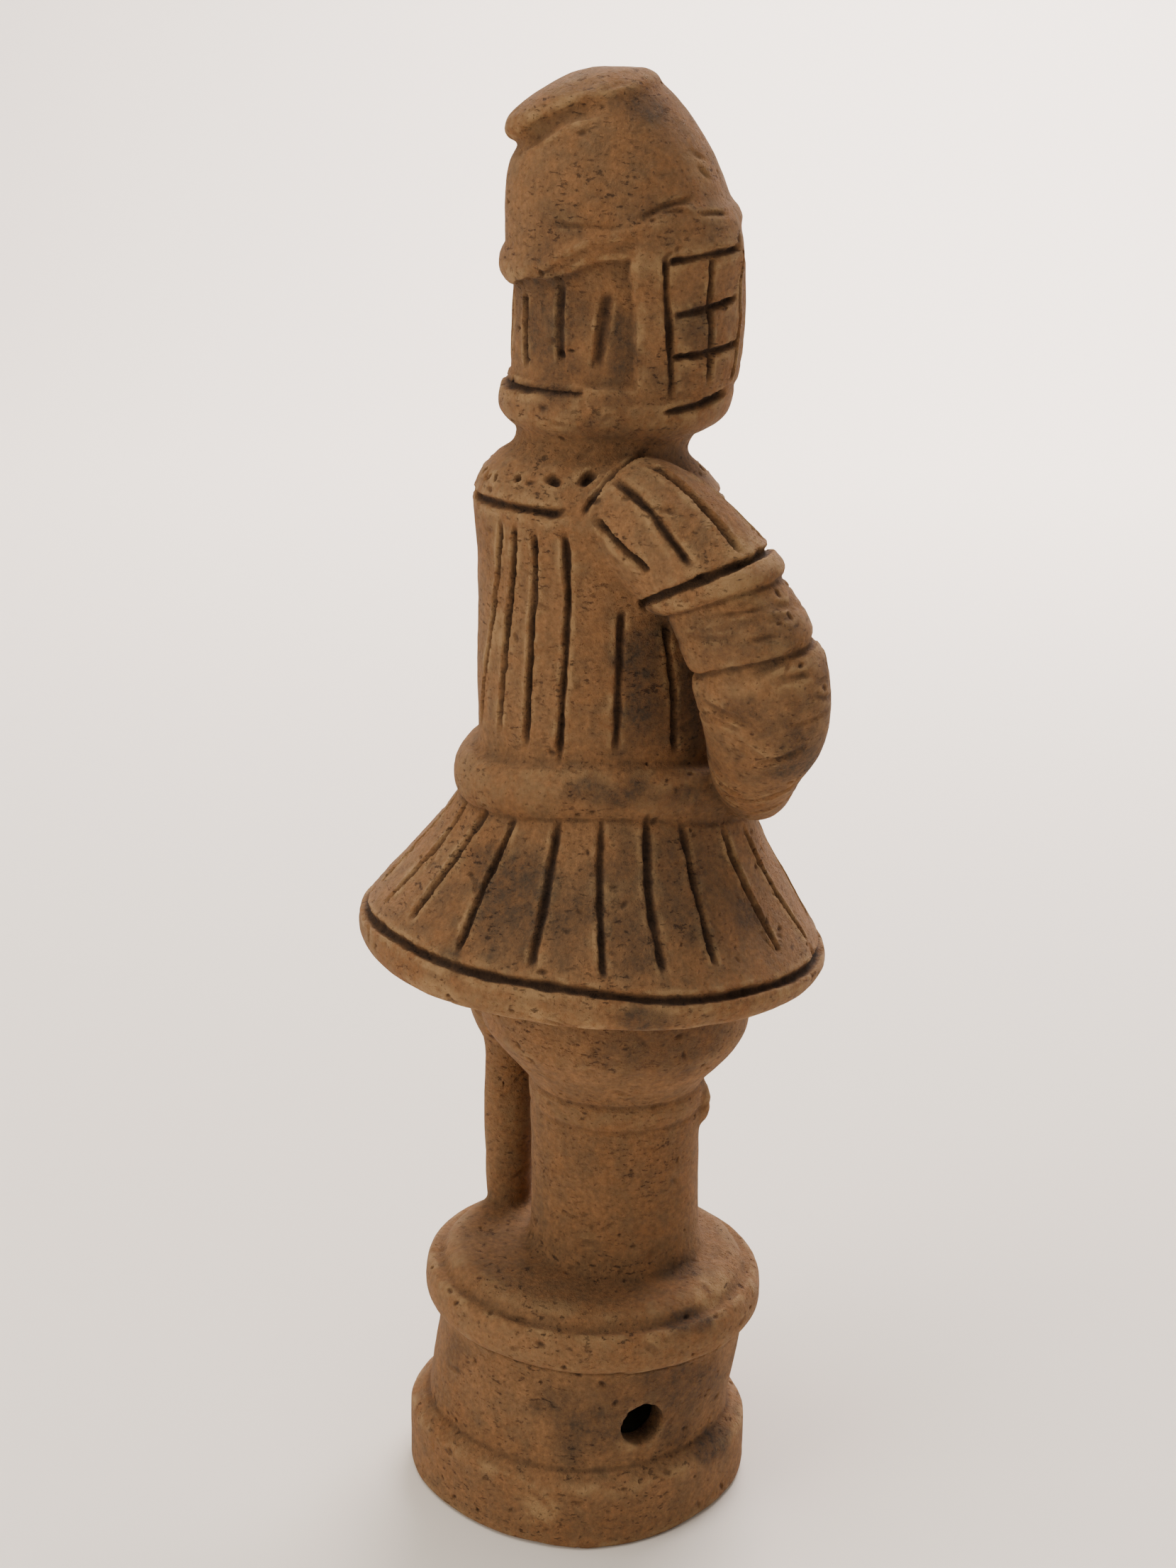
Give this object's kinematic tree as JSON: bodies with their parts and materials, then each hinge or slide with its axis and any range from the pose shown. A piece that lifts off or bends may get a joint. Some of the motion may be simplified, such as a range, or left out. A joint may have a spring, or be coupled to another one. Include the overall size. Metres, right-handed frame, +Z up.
{
  "type": "haniwa warrior figurine",
  "caption": "Terracotta figurine of a standing armoured warrior with helmet, lamellar skirt and scabbard on a hollow drum plinth with vent holes.",
  "frame": {"origin": "on the floor, under the middle of the whole outline seen from above", "axes": "+Z up along the figure's height, -Y the way the figure faces, -X towards the figure's right side"},
  "size_m": [0.0926, 0.0916, 0.2803],
  "materials": {
    "terracotta": null
  },
  "bodies": {
    "root": {"haniwa_figure": "terracotta"}
  },
  "joints": []
}
